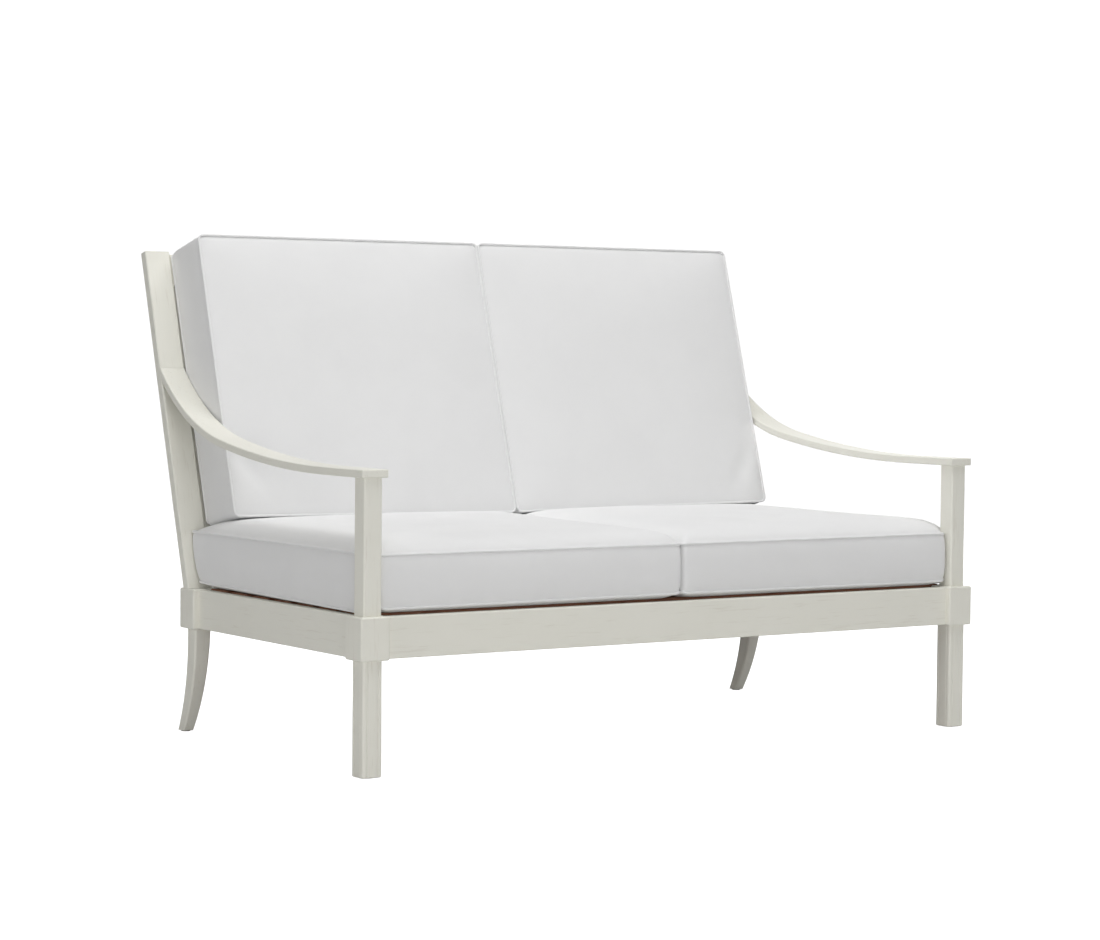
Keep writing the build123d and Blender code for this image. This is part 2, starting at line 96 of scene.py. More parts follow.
@dataclass
class NodeBuilder:
    """Adds nodes to a tree and wires them up."""

    tree: bpy.types.NodeTree

    def give(self, socket: bpy.types.NodeSocket, value: object) -> None:
        """Set an input to a value, or join it to another node's output."""
        if isinstance(value, bpy.types.NodeSocket):
            self.tree.links.new(value, socket)
        else:
            socket.default_value = value

    def feed(self, node: bpy.types.Node, **inputs: object) -> None:
        """Give a node's inputs, by name with _ for a space, their values or sources."""
        for key, value in inputs.items():
            self.give(node.inputs[key.replace("_", " ")], value)

    def add(self, kind: str, **settings: object) -> bpy.types.Node:
        """Add a node.

        Args:
            kind: The node's type, such as "ShaderNodeBump".
            settings: Properties of the node, and its inputs by name after "in_".

        Returns:
            The new node.
        """
        node = self.tree.nodes.new(kind)
        for key, value in settings.items():
            if key.startswith("in_"):
                self.feed(node, **{key[3:]: value})
            else:
                setattr(node, key, value)
        return node

    def math(self, operation: str, *terms: object) -> bpy.types.NodeSocket:
        """Add a Math node.

        Args:
            operation: The node's operation.
            terms: Its inputs in order, each a socket or a number.

        Returns:
            The node's output.
        """
        node = self.add("ShaderNodeMath", operation=operation)
        for socket, term in zip(node.inputs, terms):
            self.give(socket, term)
        return node.outputs[0]

    def vector_math(self, operation: str, *terms: object) -> bpy.types.Node:
        """Add a Vector Math node whose inputs in order are each a socket or a vector."""
        node = self.add("ShaderNodeVectorMath", operation=operation)
        for socket, term in zip(node.inputs, terms):
            self.give(socket, term)
        return node

    def noise(self, vector: bpy.types.NodeSocket, **inputs: object) -> bpy.types.NodeSocket:
        """Add a Noise Texture.

        Args:
            vector: What it lies over.
            inputs: Its other inputs by name.

        Returns:
            The noise's value.
        """
        node = self.add("ShaderNodeTexNoise")
        self.feed(node, Vector=vector, **inputs)
        return node.outputs["Fac"]

    def ramp(self, source: bpy.types.NodeSocket, low: float, high: float) -> bpy.types.NodeSocket:
        """Map a value smoothly from low..high to 0..1.

        Args:
            source: The value.
            low: What gives 0.
            high: What gives 1.

        Returns:
            The mapped value.
        """
        node = self.add("ShaderNodeMapRange", interpolation_type="SMOOTHSTEP")
        self.feed(node, Value=source, From_Min=low, From_Max=high)
        return node.outputs["Result"]

    def mix(
        self, mask: bpy.types.NodeSocket, first: object, second: object
    ) -> bpy.types.NodeSocket:
        """Mix two colours by a mask.

        Args:
            mask: 0 for the first, 1 for the second.
            first: A colour or a socket.
            second: A colour or a socket.

        Returns:
            The mixed colour.
        """
        node = self.add("ShaderNodeMix", data_type="RGBA")
        self.give(node.inputs["Factor"], mask)
        for socket, value in ((node.inputs[6], first), (node.inputs[7], second)):
            plain = isinstance(value, tuple)
            self.give(socket, (*value, 1.0) if plain else value)
        return node.outputs[2]


@dataclass
class GroupStart:
    """A new shader node group with named sockets, each Float or Vector."""

    name: str
    inputs: dict[str, float | None]
    outputs: dict[str, str]

    def __post_init__(self) -> None:
        """Make the group, its sockets and its input and output nodes.

        An input whose default is None is a Vector, and the rest are Floats.
        """
        self.tree = bpy.data.node_groups.new(self.name, "ShaderNodeTree")
        for label, default in self.inputs.items():
            kind = "NodeSocketVector" if default is None else "NodeSocketFloat"
            socket = self.tree.interface.new_socket(label, in_out="INPUT", socket_type=kind)
            if default is not None:
                socket.default_value = default
        for label, kind in self.outputs.items():
            self.tree.interface.new_socket(
                label, in_out="OUTPUT", socket_type=f"NodeSocket{kind}"
            )
        self.build = NodeBuilder(self.tree)
        self.given = self.build.add("NodeGroupInput").outputs
        self.out = self.build.add("NodeGroupOutput")


def brush_grain_group() -> bpy.types.NodeTree:
    """Make the group of long fine lines that wood pores and a brush leave under paint.

    Returns:
        A group with the outputs Pores, a mask of short dark dashes, Tone, a slow drift in
        shade, and Height for a bump.
    """
    start = GroupStart(
        "Brush Grain",
        {"Vector": None, "Fineness": 240.0, "Length": 15.0},
        {"Pores": "Float", "Tone": "Float", "Height": "Float"},
    )
    build, given = start.build, start.given
    fineness = given["Fineness"]
    stretch = build.add("ShaderNodeCombineXYZ", in_X=fineness, in_Y=fineness, in_Z=given["Length"])
    along = build.vector_math("MULTIPLY", given["Vector"], stretch.outputs[0]).outputs[0]
    fine = build.noise(along, Scale=1.0, Detail=3.0, Roughness=0.55, Distortion=0.35)
    slow = build.vector_math("MULTIPLY", along, (0.12, 0.12, 0.35)).outputs[0]
    patches = build.noise(slow, Scale=1.0, Detail=2.0)
    dashes = build.ramp(fine, 0.56, 0.74)
    where = build.ramp(patches, 0.36, 0.56)
    build.feed(
        start.out,
        Pores=build.math("MULTIPLY", dashes, where),
        Tone=patches,
        Height=build.math("SUBTRACT", fine, build.math("MULTIPLY", dashes, 0.6)),
    )
    return start.tree


def edge_wear_and_highlight_group() -> bpy.types.NodeTree:
    """Make the group that finds the eased edges of a part, where paint wears thin and plastic
    scuffs; on the painted wood its mask also carries a painted highlight along each edge.

    Returns:
        A group with the outputs Mask and Normal, the normal eased round each edge.
    """
    start = GroupStart(
        "Edge Wear And Highlight",
        {"Vector": None, "Radius": 0.0016, "Patchiness": 60.0},
        {"Mask": "Float", "Normal": "Vector"},
    )
    build, given = start.build, start.given
    bevel = build.add("ShaderNodeBevel", samples=6, in_Radius=given["Radius"]).outputs[0]
    geometry = build.add("ShaderNodeNewGeometry")
    dot = build.vector_math("DOT_PRODUCT", bevel, geometry.outputs["Normal"])
    edge = build.ramp(dot.outputs["Value"], 0.995, 0.86)
    noise = build.noise(given["Vector"], Scale=given["Patchiness"], Detail=4.0)
    patch = build.ramp(noise, 0.48, 0.66)
    build.feed(start.out, Mask=build.math("MULTIPLY", edge, patch), Normal=bevel)
    return start.tree


def weave_group() -> bpy.types.NodeTree:
    """Make the group of a plain woven cloth.

    Returns:
        A group with the outputs Height, of the crossing threads, and Slub, a mask of the
        thicker places in them.
    """
    start = GroupStart(
        "Plain Weave",
        {"Vector": None, "Threads": 1150.0},
        {"Height": "Float", "Slub": "Float"},
    )
    build, given = start.build, start.given
    split = build.add("ShaderNodeSeparateXYZ", in_Vector=given["Vector"])
    waves = []
    for axis in range(3):
        turn = build.math("MULTIPLY", split.outputs[axis], given["Threads"])
        waves.append(build.math("SINE", build.math("MULTIPLY", turn, pi)))
    over = build.math("MULTIPLY", waves[0], waves[1])
    under = build.math("MULTIPLY", waves[1], waves[2])
    cross = build.math("MULTIPLY", waves[2], waves[0])
    threads = build.math("ADD", build.math("ADD", over, under), cross)
    slub = build.noise(given["Vector"], Scale=420.0, Detail=2.0)
    build.feed(
        start.out,
        Height=build.math("MULTIPLY_ADD", slub, 1.4, threads),
        Slub=build.ramp(slub, 0.55, 0.75),
    )
    return start.tree


def tone_group() -> bpy.types.NodeTree:
    """Make the group of a faint uneven tone, from handling and the weather.

    Returns:
        A group with the outputs Mask and Roughness.
    """
    start = GroupStart(
        "Uneven Tone",
        {"Vector": None, "Scale": 6.0, "Base Roughness": 0.6},
        {"Mask": "Float", "Roughness": "Float"},
    )
    build, given = start.build, start.given
    noise = build.noise(given["Vector"], Scale=given["Scale"], Detail=5.0, Roughness=0.6)
    spread = build.math("MULTIPLY_ADD", noise, 0.16, -0.08)
    build.feed(
        start.out,
        Mask=build.ramp(noise, 0.35, 0.7),
        Roughness=build.math("ADD", given["Base Roughness"], spread),
    )
    return start.tree


@dataclass
class Effects:
    """The node groups that the finishes share, each built once."""

    grain: bpy.types.NodeTree = field(default_factory=brush_grain_group)
    edges: bpy.types.NodeTree = field(default_factory=edge_wear_and_highlight_group)
    weave: bpy.types.NodeTree = field(default_factory=weave_group)
    tone: bpy.types.NodeTree = field(default_factory=tone_group)


# ---- Finishes ----


@dataclass
class MaterialStart:
    """A new material with its Principled BSDF and a coordinate that keeps to the part."""

    name: str

    def __post_init__(self) -> None:
        """Make the material and its first nodes."""
        self.material = bpy.data.materials.new(self.name)
        self.material.use_nodes = True
        self.build = NodeBuilder(self.material.node_tree)
        self.shader = self.material.node_tree.nodes["Principled BSDF"]
        self.place = self.build.add("ShaderNodeTexCoord").outputs["Object"]

    def group(
        self, tree: bpy.types.NodeTree, vector: bpy.types.NodeSocket, **inputs: float
    ) -> bpy.types.bpy_prop_collection:
        """Place one of the shared groups.

        Args:
            tree: The group.
            vector: What its Vector input takes.
            inputs: Its other inputs by name.

        Returns:
            The outputs of the group's node.
        """
        node = self.build.add("ShaderNodeGroup", node_tree=tree)
        self.build.feed(node, Vector=vector, **inputs)
        return node.outputs

    def bump(
        self, height: bpy.types.NodeSocket, distance: float, strength: float
    ) -> bpy.types.Node:
        """Feed the shader's normal from a height.

        Args:
            height: The height, about 0 to 1.
            distance: How deep it is, in metres.
            strength: The bump's strength.

        Returns:
            The bump's node, whose Normal input takes a normal to start from.
        """
        node = self.build.add(
            "ShaderNodeBump", in_Distance=distance, in_Strength=strength, in_Height=height
        )
        self.build.feed(self.shader, Normal=node.outputs[0])
        return node


@dataclass(frozen=True)
class WoodFinish:
    """Paint or oil over wood whose grain still shows through, lighter on the eased edges from wear
    and a painted highlight.
    """

    name: str
    colour: Colour
    shade: Colour
    pore: Colour
    # The lighter colour on the eased edges: worn paint with a painted highlight.
    worn_and_highlight: Colour
    roughness: float
    pore_strength: float
    depth: float
    wear_and_highlight: float

    def grain_vector(self, start: MaterialStart, run: GrainRun) -> bpy.types.NodeSocket:
        """Turn the part's own coordinate so that the grain runs along its Z.

        Args:
            start: The material.
            run: The way the grain runs.

        Returns:
            The turned coordinate.
        """
        turns = {
            GrainRun.ACROSS: (0.0, pi / 2, 0.0),
            GrainRun.DEEP: (pi / 2, 0.0, 0.0),
            GrainRun.UPRIGHT: (0.0, 0.0, 0.0),
            GrainRun.LEANING: (LEAN, 0.0, 0.0),
        }
        return start.build.add(
            "ShaderNodeMapping", in_Rotation=turns[run], in_Vector=start.place
        ).outputs[0]

    def make(self, effects: Effects, run: GrainRun) -> bpy.types.Material:
        """Make the finish for one run of the grain.

        Args:
            effects: The shared groups.
            run: The way the grain runs.

        Returns:
            The material.
        """
        start = MaterialStart(f"{self.name}_{run.value}")
        build = start.build
        grain = start.group(effects.grain, self.grain_vector(start, run))
        edges = start.group(effects.edges, start.place)
        tone = start.group(
            effects.tone, start.place, Scale=5.0, Base_Roughness=self.roughness
        )
        drift = build.math("MULTIPLY", grain["Tone"], tone["Mask"])
        pores = build.math("MULTIPLY", grain["Pores"], self.pore_strength)
        # Lighter on the eased edges: worn paint, and a painted highlight along each edge.
        worn_and_highlight = build.math("MULTIPLY", edges["Mask"], self.wear_and_highlight)
        colour = build.mix(drift, self.colour, self.shade)
        colour = build.mix(pores, colour, self.pore)
        colour = build.mix(worn_and_highlight, colour, self.worn_and_highlight)
        build.feed(
            start.shader, Base_Color=colour, Roughness=tone["Roughness"], Specular_IOR_Level=0.35
        )
        build.feed(start.bump(grain["Height"], self.depth, 0.35), Normal=edges["Normal"])
        return start.material


@dataclass(frozen=True)
class FabricFinish:
    """White plain woven outdoor cloth."""

    name: str = "cover_cloth"
    colour: Colour = (0.87, 0.87, 0.87)
    shade: Colour = (0.857, 0.857, 0.858)
    slub: Colour = (0.83, 0.83, 0.826)
    slub_strength: float = 0.25
    roughness: float = 0.88
    threads: float = 1150.0
    depth: float = 0.00012

    def make(self, effects: Effects) -> bpy.types.Material:
        """Make the cloth.

        Args:
            effects: The shared groups.

        Returns:
            The material.
        """
        start = MaterialStart(self.name)
        build = start.build
        weave = start.group(effects.weave, start.place, Threads=self.threads)
        tone = start.group(
            effects.tone, start.place, Scale=9.0, Base_Roughness=self.roughness
        )
        slubs = build.math("MULTIPLY", weave["Slub"], self.slub_strength)
        colour = build.mix(tone["Mask"], self.colour, self.shade)
        colour = build.mix(slubs, colour, self.slub)
        build.feed(
            start.shader,
            Base_Color=colour,
            Roughness=tone["Roughness"],
            Specular_IOR_Level=0.2,
            Sheen_Weight=0.08,
            Sheen_Roughness=0.5,
        )
        start.bump(weave["Height"], self.depth, 0.5)
        return start.material


@dataclass(frozen=True)
class PlasticFinish:
    """Dark moulded plastic, scuffed by the floor."""

    name: str = "glide_plastic"
    colour: Colour = (0.035, 0.032, 0.03)
    scuff: Colour = (0.16, 0.15, 0.14)
    scuff_strength: float = 0.8
    roughness: float = 0.5
    depth: float = 0.0001

    def make(self, effects: Effects) -> bpy.types.Material:
        """Make the plastic.

        Args:
            effects: The shared groups.

        Returns:
            The material.
        """
        start = MaterialStart(self.name)
        build = start.build
        tone = start.group(
            effects.tone, start.place, Scale=180.0, Base_Roughness=self.roughness
        )
        edges = start.group(effects.edges, start.place, Radius=0.0006, Patchiness=400.0)
        scuffs = build.math("MULTIPLY", edges["Mask"], self.scuff_strength)
        colour = build.mix(scuffs, self.colour, self.scuff)
        build.feed(start.shader, Base_Color=colour, Roughness=tone["Roughness"])
        build.feed(start.bump(tone["Mask"], self.depth, 0.4), Normal=edges["Normal"])
        return start.material


# ---- Outlines and meshes ----


def rounded_outline(
    corners: Sequence[Point], radii: Sequence[float], steps: int = 8
) -> list[Point]:
    """Round the corners of a closed outline.

    Args:
        corners: The sharp corners in order.
        radii: The radius at each corner.
        steps: Runs that each rounding is cut into.

    Returns:
        The outline's points in the same order, with steps + 1 points for each corner.
    """
    points: list[Point] = []
    count = len(corners)
    for index, (corner, radius) in enumerate(zip(corners, radii)):
        here = Vector(corner)
        back = (Vector(corners[index - 1]) - here).normalized()
        ahead = (Vector(corners[(index + 1) % count]) - here).normalized()
        half = back.angle(ahead) / 2
        reach = radius / tan(half)
        centre = here + (back + ahead).normalized() * (radius / sin(half))
        first = here + back * reach - centre
        last = here + ahead * reach - centre
        start = atan2(first.y, first.x)
        turn = (atan2(last.y, last.x) - start + pi) % (2 * pi) - pi
        for step in range(steps + 1):
            angle = start + turn * step / steps
            points.append((centre.x + radius * cos(angle), centre.y + radius * sin(angle)))
    return points


def resample(loop: Loop, gap: float) -> Loop:
    """Space a closed loop's points evenly.

    Args:
        loop: The loop's points.
        gap: About how far apart the new points are.

    Returns:
        The new points.
    """
    lengths = [(loop[(i + 1) % len(loop)] - loop[i]).length for i in range(len(loop))]
    total = sum(lengths)
    count = max(8, ceil(total / gap))
    points: Loop = []
    index, passed = 0, 0.0
    for step in range(count):
        target = total * step / count
        while passed + lengths[index] < target:
            passed += lengths[index]
            index += 1
        share = (target - passed) / max(lengths[index], TINY)
        points.append(loop[index].lerp(loop[(index + 1) % len(loop)], share))
    return points


def shade_smooth(mesh: bpy.types.Mesh) -> None:
    """Shade every face of a mesh smooth."""
    for face in mesh.polygons:
        face.use_smooth = True


def mesh_object(
    name: str, vertices: Iterable[Sequence[float]], faces: Iterable[Sequence[int]]
) -> bpy.types.Object:
    """Make a mesh object from points and faces, smooth shaded.

    Args:
        name: The object's name.
        vertices: The points.
        faces: For each face, the numbers of its points.

    Returns:
        The object, in the scene.
    """
    mesh = bpy.data.meshes.new(name)
    mesh.from_pydata([tuple(v) for v in vertices], [], [tuple(f) for f in faces])
    bm = bmesh.new()
    bm.from_mesh(mesh)
    bmesh.ops.recalc_face_normals(bm, faces=bm.faces)
    bm.to_mesh(mesh)
    bm.free()
    shade_smooth(mesh)
    obj = bpy.data.objects.new(name, mesh)
    bpy.context.scene.collection.objects.link(obj)
    return obj


def ring_mesh(name: str, rings: Sequence[Loop], closed: bool = True) -> bpy.types.Object:
    """Make a mesh through rings of equal count, its first ring capped.

    Args:
        name: The object's name.
        rings: The rings, from one end to the other.
        closed: Whether the last ring is capped too.

    Returns:
        The object.
    """
    count = len(rings[0])
    vertices = [point for ring in rings for point in ring]
    faces: list[tuple[int, ...]] = [tuple(range(count))]
    for level in range(len(rings) - 1):
        low, high = level * count, (level + 1) * count
        for i in range(count):
            j = (i + 1) % count
            faces.append((low + i, low + j, high + j, high + i))
    if closed:
        faces.append(tuple(range((len(rings) - 1) * count, len(rings) * count)))
    return mesh_object(name, vertices, faces)


def tube_mesh(name: str, loop: Loop, radius: float, sides: int = 10) -> bpy.types.Object:
    """Make a round cord along a closed loop.

    Args:
        name: The object's name.
        loop: The cord's centre line.
        radius: The cord's radius.
        sides: Flats round the cord.

    Returns:
        The object.
    """
    count = len(loop)
    tangents = [(loop[(i + 1) % count] - loop[i - 1]).normalized() for i in range(count)]
    normal = tangents[0].orthogonal().normalized()
    normals: Loop = []
    for tangent in tangents:
        normal = (normal - tangent * normal.dot(tangent)).normalized()
        normals.append(normal)
    closing = normals[-1] - tangents[0] * normals[-1].dot(tangents[0])
    twist = closing.normalized().angle(normals[0], 0.0)
    if closing.cross(normals[0]).dot(tangents[0]) < 0:
        twist = -twist
    vertices: Loop = []
    for i, (point, tangent, across) in enumerate(zip(loop, tangents, normals)):
        other = tangent.cross(across)
        for side in range(sides):
            angle = 2 * pi * side / sides + twist * i / count
            vertices.append(point + (across * cos(angle) + other * sin(angle)) * radius)
    faces = []
    for i in range(count):
        j = (i + 1) % count
        for side in range(sides):
            k = (side + 1) % sides
            faces.append((i * sides + side, i * sides + k, j * sides + k, j * sides + side))
    return mesh_object(name, vertices, faces)


def apply_all(obj: bpy.types.Object) -> None:
    """Apply every modifier of an object to its mesh."""
    graph = bpy.context.evaluated_depsgraph_get()
    mesh = bpy.data.meshes.new_from_object(obj.evaluated_get(graph), depsgraph=graph)
    obj.modifiers.clear()
    old = obj.data
    obj.data = mesh
    bpy.data.meshes.remove(old)
    shade_smooth(mesh)


def positions(mesh: bpy.types.Mesh) -> np.ndarray:
    """Read a mesh's points as an array of n by 3."""
    flat = np.empty(len(mesh.vertices) * 3)
    mesh.vertices.foreach_get("co", flat)
    return flat.reshape(-1, 3)


def set_positions(mesh: bpy.types.Mesh, points: np.ndarray) -> None:
    """Write a mesh's points back from an array of n by 3."""
    mesh.vertices.foreach_set("co", points.astype(np.float32).ravel())
    mesh.update()


# ---- Cushions ----


@dataclass(frozen=True)
class Stuffing:
    """How a cushion is filled: the cells of its cloth, the push of the filling and its limits.

    The cloth is held to the welts: fully up to 0.6 of `held` away from them, and not at all
    from 1.6 of it on. `border_share` is how much of a sideways move is kept.
    """

    voxel: float = 0.007
    quick_voxel: float = 0.010
    start_puff: float = 0.6
    pressure: float = 3.0
    frames: int = 18
    quality: int = 5
    cap: float = 0.014
    stiffness: float = 28.0
    bending: float = 2.0
    held: float = 0.011
    free_from: float = 1.6
    border_share: float = 0.35


@dataclass(frozen=True)
class Unevenness:
    """The hollows of real filling, which start off a welt, and the puckers beside one.

    Each wave is given by its radians a metre along X, Y and Z.
    """

    hollow: float = 0.0011
    hollow_from: float = 0.008
    hollow_reach: float = 0.05
    hollow_waves: tuple[Triple, ...] = ((9.0, 4.0, 0.0), (0.0, 7.0, -5.0), (17.0, -11.0, 9.0))
    third_share: float = 0.6
    pucker: float = 0.00035
    pucker_from: float = 0.016
    pucker_reach: float = 0.012
    pucker_waves: tuple[Triple, ...] = ((150.0, 40.0, 0.0), (0.0, 140.0, 60.0))


@dataclass(frozen=True)
class LeaningPlane:
    """The plane of the stiles' front faces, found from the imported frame."""

    foot_y: float
    foot_z: float
    lean: float = LEAN

    @property
    def up(self) -> Vector:
        """The way up the slope."""
        return Vector((0.0, sin(self.lean), cos(self.lean)))

    @property
    def out(self) -> Vector:
        """The way out of the plane, to the front."""
        return Vector((0.0, -cos(self.lean), sin(self.lean)))

    def point(self, x: float, rise: float, forward: float) -> Vector:
        """Place a point by its distance up the slope and out of the plane."""
        return Vector((x, self.foot_y, self.foot_z)) + self.up * rise + self.out * forward

    def y_at(self, z: float) -> float:
        """The plane's Y at a height."""
        return self.foot_y + (z - self.foot_z) * tan(self.lean)

    def measure(self, points: np.ndarray) -> tuple[np.ndarray, np.ndarray]:
        """Measure points by their distance up the slope and out of the plane.

        Args:
            points: The points.

        Returns:
            The rises and the distances forward.
        """
        away = points - np.array((0.0, self.foot_y, self.foot_z))
        return away @ np.array(self.up), away @ np.array(self.out)

    def press(self, points: np.ndarray, gap: float) -> np.ndarray:
        """Push the points that are nearer to the plane than a gap, or behind it, out to it."""
        short = gap - self.measure(points)[1]
        return points + np.maximum(short, 0.0)[:, None] * np.array(self.out)


def border_swell(share: float) -> float:
    """How far a border stands out at a share of its height: flat, and turned in at both seams."""
    return 1.0 - abs(2.0 * share - 1.0) ** 4


def foot_sag(x: np.ndarray | float, forward: np.ndarray | float) -> np.ndarray | float:
    """How far a back cushion's foot sinks, most at the front and near the loveseat's middle."""
    to_front = np.clip(forward / BACK_THICK, 0.0, 1.0)
    from_middle = np.clip(np.abs(x) / FOOT_SAG_REACH, 0.0, 1.0)
    return FOOT_SAG * to_front * (1.0 - from_middle) ** FOOT_SAG_FADE


def fade(distance: float, reach: float) -> float:
    """Fall from 1 at no distance to 0 at the reach and beyond."""
    return max(0.0, 1.0 - distance / reach)


@dataclass
class BoxCushion:
    """A stuffed box cushion on the left side: two panels, a border between them and two welts.

    `draw` is how far the cover is drawn in to a welt, from `draw_reach` away, and `seam` is
    half the gap to the twin cushion.
    """

    plane: LeaningPlane
    stuffing: Stuffing = field(default_factory=Stuffing)
    unevenness: Unevenness = field(default_factory=Unevenness)
    welt_radius: float = 0.0026
    welt_gap: float = 0.005
    seam: float = 0.0004
    draw: float = 0.75
    draw_reach: float = 0.008
    draw_fade: float = 0.8
    crown: float = 0.03
    shoulder: float = 0.02
    shell: bpy.types.Mesh | None = None

    @property
    def welt_clear(self) -> float:
        """How far in a welt lies to keep off the twin cushion and the post."""
        return self.welt_radius - 0.0003

    @property
    def crown_way(self) -> Vector:
        """The way that the shown panel faces."""
        raise NotImplementedError

    def crown_rise(self, inward: float, puff: float = 1.0) -> float:
        """How far the crown stands up at a distance in from its seam, for a share of its fill."""
        return float(self.crown * puff * (1.0 - np.exp(-inward / self.shoulder)))

    def rings(self, puff: float) -> list[Loop]:
        """Give the shell's rings from the hidden panel to the crown.

        Args:
            puff: Share of the full crown that the shell starts with.

        Returns:
            The rings.
        """
        raise NotImplementedError

    def welt_loops(self) -> list[Loop]:
        """Give the centre lines of the two welts."""
        raise NotImplementedError

    def settle(self, points: np.ndarray) -> np.ndarray:
        """Press the shell flat where it meets its neighbours.

        Args:
            points: The shell's points.

        Returns:
            The pressed points.
        """
        raise NotImplementedError

    def rests(self, points: np.ndarray) -> np.ndarray:
        """Mark the points of the panel that the cushion rests on, which don't puff."""
        raise NotImplementedError

    def stuff(self, obj: bpy.types.Object) -> None:
        """Fill the shell: simulate its cloth under pressure with the welts held.

        Args:
            obj: The shell.
        """
        stuffing = self.stuffing
        before = positions(obj.data)
        hold = np.clip(stuffing.free_from - self.off_welts(before) / stuffing.held, 0.0, 1.0)
        hold = np.maximum(hold, self.rests(before).astype(float))
        group = obj.vertex_groups.new(name="held")
        for index, weight in enumerate(hold):
            if weight > 0.01:
                group.add([index], float(weight), "REPLACE")
        cloth = obj.modifiers.new("Filling", "CLOTH")
        settings = cloth.settings
        settings.use_pressure = True
        settings.uniform_pressure_force = stuffing.pressure
        settings.vertex_group_mass = "held"
        settings.quality = stuffing.quality
        settings.tension_stiffness = stuffing.stiffness
        settings.compression_stiffness = stuffing.stiffness
        settings.bending_stiffness = stuffing.bending
        settings.effector_weights.gravity = 0.0
        cloth.collision_settings.use_collision = False
        cloth.point_cache.frame_start = 1
        cloth.point_cache.frame_end = stuffing.frames
        scene = bpy.context.scene
        for step in range(1, stuffing.frames + 1):
            scene.frame_set(step)
        puffed = obj.evaluated_get(bpy.context.evaluated_depsgraph_get())
        after = positions(puffed.to_mesh())
        puffed.to_mesh_clear()
        obj.modifiers.clear()
        scene.frame_set(1)
        moved = after - before
        crown = np.array(self.crown_way)
        straight = (moved @ crown)[:, None] * crown
        moved = straight + (moved - straight) * stuffing.border_share
        length = np.linalg.norm(moved, axis=1, keepdims=True)
        scale = np.minimum(1.0, stuffing.cap / np.maximum(length, TINY))
        LOG.info("%s puffed by up to %.1f mm", obj.name, float(length.max()) * 1000)
        set_positions(obj.data, before + moved * scale)
        obj.vertex_groups.clear()

    def welt_tree(self, gap: float = 0.003) -> KDTree:
        """Make a search tree of points on both welts, this far apart."""
        points = [point for loop in self.welt_loops() for point in resample(loop, gap)]
        tree = KDTree(len(points))
        for index, point in enumerate(points):
            tree.insert(point, index)
        tree.balance()
        return tree

    def off_welts(self, points: np.ndarray) -> np.ndarray:
        """Measure how far each point lies from the nearer welt's centre line."""
        tree = self.welt_tree()
        return np.array([tree.find(Vector(point))[2] for point in points])

    def seam_to(self, points: np.ndarray) -> np.ndarray:
        """Draw the cover in to the welts along the seams.

        Args:
            points: The shell's points.

        Returns:
            The drawn points.
        """
        tree = self.welt_tree(0.001)
        drawn = points.copy()
        for index, point in enumerate(points):
            spot, _, gap = tree.find(Vector(point))
            if gap < self.draw_reach:
                share = self.draw * (1.0 - gap / self.draw_reach) ** self.draw_fade
                drawn[index] += (np.array(spot) - point) * share
        return drawn

    def ease(self, points: np.ndarray, seed: float) -> np.ndarray:
        """Add the slow hollows and rises of the filling, and the small puckers along the welts.

        Args:
            points: The shell's points.
            seed: Moves the pattern, so that no two cushions match.

        Returns:
            The eased points.
        """
        form = self.unevenness
        x, y, z = points[:, 0] + seed, points[:, 1] + 0.7 * seed, points[:, 2]

        def wave(turns: Triple, start: float = 0.0) -> np.ndarray:
            """Make a sine wave over the points."""
            return np.sin(turns[0] * x + turns[1] * y + turns[2] * z + start)

        first, second, third = form.hollow_waves
        slow = wave(first) * wave(second, 1.0) + form.third_share * wave(third)
        first, second = form.pucker_waves
        fast = wave(first) * wave(second, seed * 9.0)
        near = self.off_welts(points)
        loose = np.clip((near - form.hollow_from) / form.hollow_reach, 0.0, 1.0)
        beside = np.exp(-(((near - form.pucker_from) / form.pucker_reach) ** 2))
        lift = form.hollow * slow * loose + form.pucker * fast * beside
        out = points - points.mean(axis=0)
        length = np.linalg.norm(out, axis=1, keepdims=True)
        return points + out / np.maximum(length, TINY) * lift[:, None]

    def stuffed_shell(self) -> bpy.types.Mesh:
        """Make the stuffed shell of the left cushion once, for both sides to start from.

        Returns:
            A mesh of its own for the caller.
        """
        if self.shell is None:
            quick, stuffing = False, self.stuffing
            cover = ring_mesh("shell", self.rings(1.0 if quick else stuffing.start_puff))
            remesh = cover.modifiers.new("Cloth Cells", "REMESH")
            remesh.mode = "VOXEL"
            remesh.voxel_size = stuffing.quick_voxel if quick else stuffing.voxel
            apply_all(cover)
            if not quick:
                self.stuff(cover)
            self.shell = cover.data
            bpy.data.objects.remove(cover)
        return self.shell.copy()

    def build(self, name: str, side: Side) -> tuple[bpy.types.Object, list[bpy.types.Object]]:
        """Build the cushion and its welts.

        Args:
            name: The cushion's name.
            side: Which half of the loveseat it lies on.

        Returns:
            The stuffed cover and the two welts.
        """
        cover = bpy.data.objects.new(name, self.stuffed_shell())
        bpy.context.scene.collection.objects.link(cover)
        seed = 0.0 if side is Side.LEFT else 2.3
        set_positions(cover.data, self.settle(self.ease(positions(cover.data), seed)))
        smooth = cover.modifiers.new("Relax", "SMOOTH")
        smooth.factor = 0.5
        smooth.iterations = 2
        finer = cover.modifiers.new("Finer", "SUBSURF")
        finer.levels = finer.render_levels = 1
        apply_all(cover)
        set_positions(cover.data, self.settle(self.seam_to(positions(cover.data))))
        welts = [
            tube_mesh(f"{name}_welt_{place}", resample(loop, self.welt_gap), self.welt_radius)
            for place, loop in zip(("hidden", "shown"), self.welt_loops())
        ]
        if side is Side.RIGHT:
            for piece in (cover, *welts):
                piece.data.transform(Matrix.Scale(-1, 4, (1, 0, 0)))
                piece.data.flip_normals()
        return cover, welts


